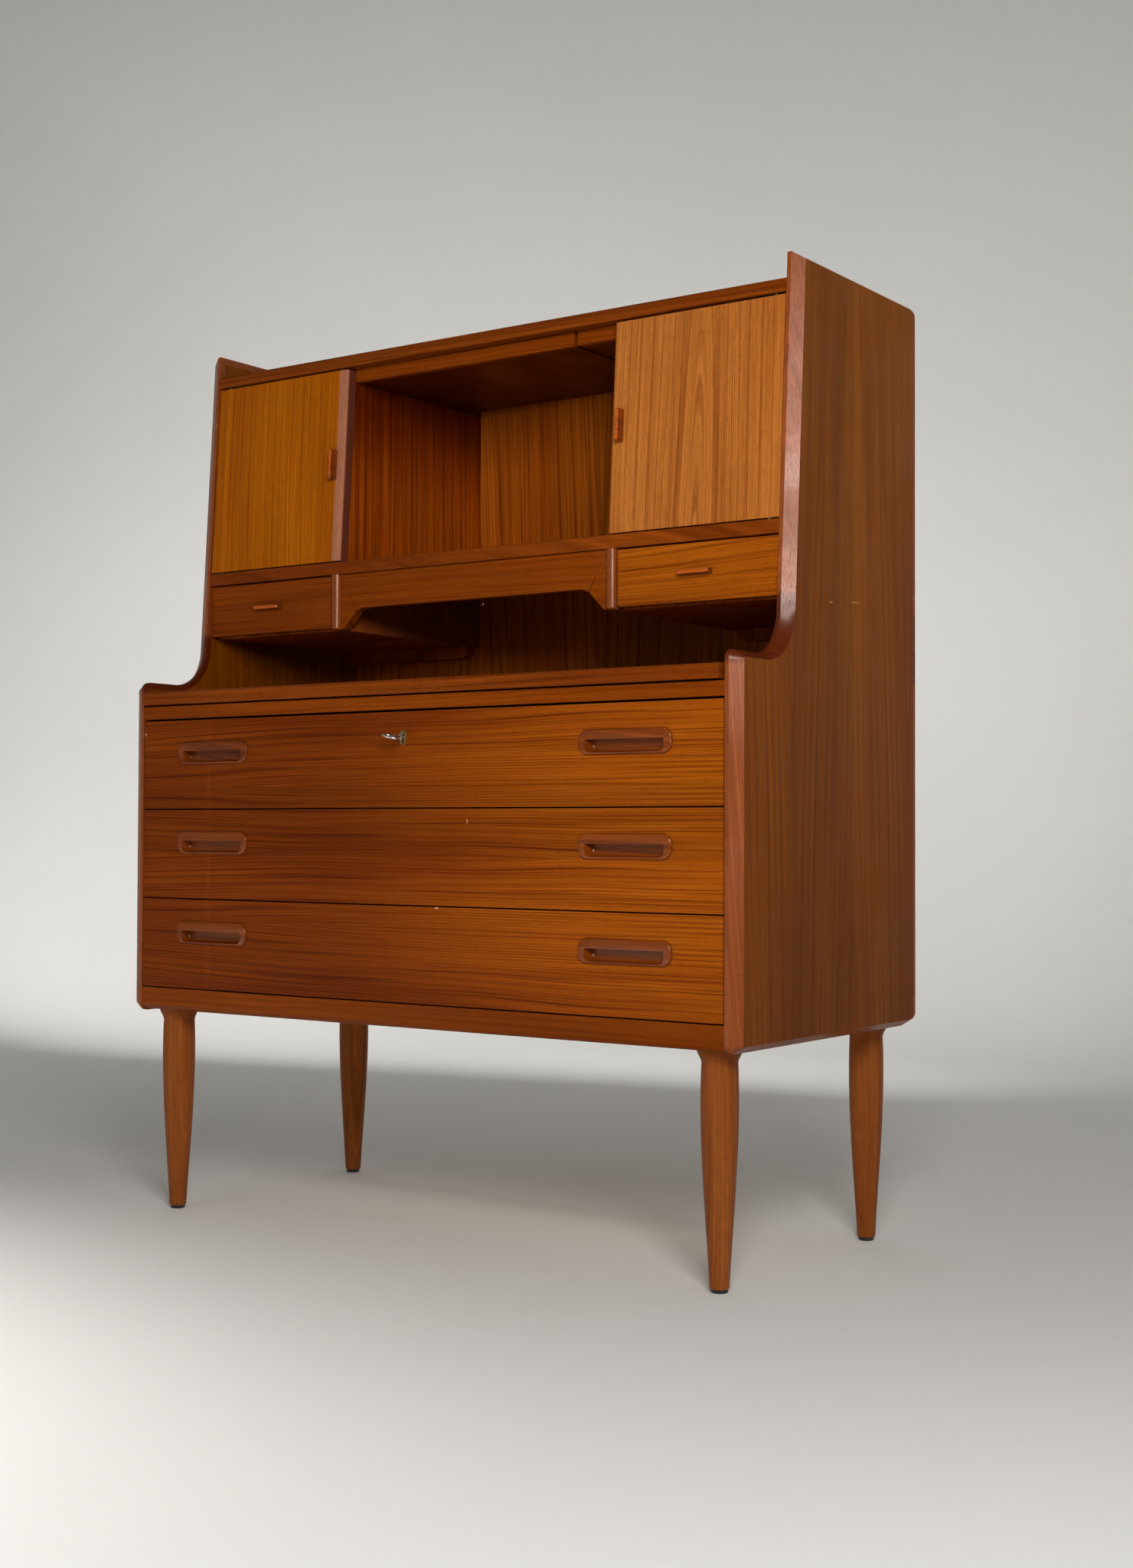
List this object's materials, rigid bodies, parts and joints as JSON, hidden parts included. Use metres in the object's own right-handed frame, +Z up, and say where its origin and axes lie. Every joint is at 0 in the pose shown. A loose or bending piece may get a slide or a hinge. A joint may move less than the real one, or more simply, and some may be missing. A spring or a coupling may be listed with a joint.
{
  "type": "secretary desk",
  "caption": "Teak secretary desk on turned legs: long drawers with a lock, a sliding writing leaf and a hutch with doors, small drawers and shallow trays.",
  "frame": {"origin": "middle of the outline in plan, on the floor under the leg glides", "axes": "+X to the desk's right side, +Y to its back, +Z up"},
  "size_m": [1.02, 0.503, 1.266],
  "materials": {
    "teak_side": "oiled teak veneer, upright grain",
    "teak_edging": "oiled solid teak edging",
    "teak_board": "oiled teak veneer, grain along the width",
    "teak_inner": "teak veneer inside the hutch, darker",
    "teak_apron": "oiled teak",
    "teak_rail": "oiled solid teak",
    "teak_drawer_front": "oiled teak veneer, matched leaves, grain along the width",
    "teak_door": "oiled teak veneer, upright grain",
    "teak_pull": "oiled solid teak, darker",
    "teak_leg": "turned solid teak, oiled",
    "beech": "plain pale hardwood, unfinished",
    "plywood": "thin plywood",
    "steel": "plated steel, slightly dull",
    "brass": "aged brass",
    "catch_plastic": "brown plastic",
    "glide_plastic": "black plastic"
  },
  "bodies": {
    "case": {"side_panel_left": "teak_side", "side_panel_right": "teak_side", "side_edging_left": "teak_edging", "side_edging_right": "teak_edging", "top_panel": "teak_board", "hutch_shelf": "teak_board", "hutch_divider_left": "teak_inner", "hutch_divider_right": "teak_inner", "small_drawer_divider_left": "teak_inner", "small_drawer_divider_right": "teak_inner", "small_drawer_floors": "teak_inner", "back_panel_upper": "teak_inner", "rear_cleats": "teak_inner", "apron": "teak_apron", "desk_rail": "teak_rail", "bottom_rail": "teak_rail", "leg_front_left": "teak_leg", "leg_front_right": "teak_leg", "leg_rear_left": "teak_leg", "leg_rear_right": "teak_leg", "drawer_runners": "beech", "leaf_supports": "beech", "tray_runners": "beech", "back_panel_lower": "plywood", "bottom_panel": "plywood", "dust_panel": "plywood", "leg_bolts": "steel", "back_screws": "steel", "fixed_hinge_leaves": "brass", "door_catches": "catch_plastic", "leg_glides": "glide_plastic"},
    "writing_leaf": {"writing_leaf_board": "teak_board", "writing_leaf_front_edge": "teak_board"},
    "drawer_1": {"drawer_1_front": "teak_drawer_front", "drawer_1_box": "beech", "drawer_1_pulls": "teak_pull", "key_escutcheon": "brass", "lock_case": "steel"},
    "key": {"key": "steel"},
    "lock_bolt": {"lock_bolt": "steel"},
    "drawer_2": {"drawer_2_front": "teak_drawer_front", "drawer_2_box": "beech", "drawer_2_pulls": "teak_pull"},
    "drawer_3": {"drawer_3_front": "teak_drawer_front", "drawer_3_box": "beech", "drawer_3_pulls": "teak_pull"},
    "small_drawer_left": {"small_drawer_left_front": "teak_drawer_front", "small_drawer_left_box": "beech", "small_drawer_left_pull": "teak_pull"},
    "small_drawer_right": {"small_drawer_right_front": "teak_drawer_front", "small_drawer_right_box": "beech", "small_drawer_right_pull": "teak_pull"},
    "door_left": {"door_left_panel": "teak_door", "door_left_pull": "teak_pull", "door_left_hinge_leaves": "brass"},
    "door_right": {"door_right_panel": "teak_door", "door_right_pull": "teak_pull", "door_right_hinge_leaves": "brass"},
    "tray_long": {"tray_long": "beech"},
    "tray_short": {"tray_short": "beech"}
  },
  "joints": [
    {"name": "writing_leaf_slide", "type": "slide", "parent": "case", "child": "writing_leaf", "axis": [0, -1, 0], "range_m": [0, 0.24]},
    {"name": "drawer_1_slide", "type": "slide", "parent": "case", "child": "drawer_1", "axis": [0, -1, 0], "range_m": [0, 0.3]},
    {"name": "drawer_2_slide", "type": "slide", "parent": "case", "child": "drawer_2", "axis": [0, -1, 0], "range_m": [0, 0.3]},
    {"name": "drawer_3_slide", "type": "slide", "parent": "case", "child": "drawer_3", "axis": [0, -1, 0], "range_m": [0, 0.3]},
    {"name": "small_drawer_left_slide", "type": "slide", "parent": "case", "child": "small_drawer_left", "axis": [0, -1, 0], "range_m": [0, 0.2]},
    {"name": "small_drawer_right_slide", "type": "slide", "parent": "case", "child": "small_drawer_right", "axis": [0, -1, 0], "range_m": [0, 0.2]},
    {"name": "tray_long_slide", "type": "slide", "parent": "case", "child": "tray_long", "axis": [0, -1, 0], "range_m": [0, 0.2]},
    {"name": "tray_short_slide", "type": "slide", "parent": "case", "child": "tray_short", "axis": [0, -1, 0], "range_m": [0, 0.2]},
    {"name": "door_right_hinge", "type": "hinge", "parent": "case", "child": "door_right", "pos_m": [0.4712, -0.07086, 1.0744], "axis": [0, 0.0593, 0.9982], "range_deg": [0, 90]},
    {"name": "door_left_hinge", "type": "hinge", "parent": "case", "child": "door_left", "pos_m": [-0.4712, -0.07086, 1.0744], "axis": [0, -0.0593, -0.9982], "range_deg": [0, 90]},
    {"name": "key_turn", "type": "hinge", "parent": "drawer_1", "child": "key", "pos_m": [0, -0.2165, 0.67], "axis": [0, 1, 0], "range_deg": [0, 90]},
    {"name": "lock_bolt_slide", "type": "slide", "parent": "drawer_1", "child": "lock_bolt", "axis": [0, 0, 1], "range_m": [0, 0.009]}
  ],
  "couplings": [
    {"joint": "key_turn", "follows": "lock_bolt_slide", "rad_per_m": 174.5}
  ]
}
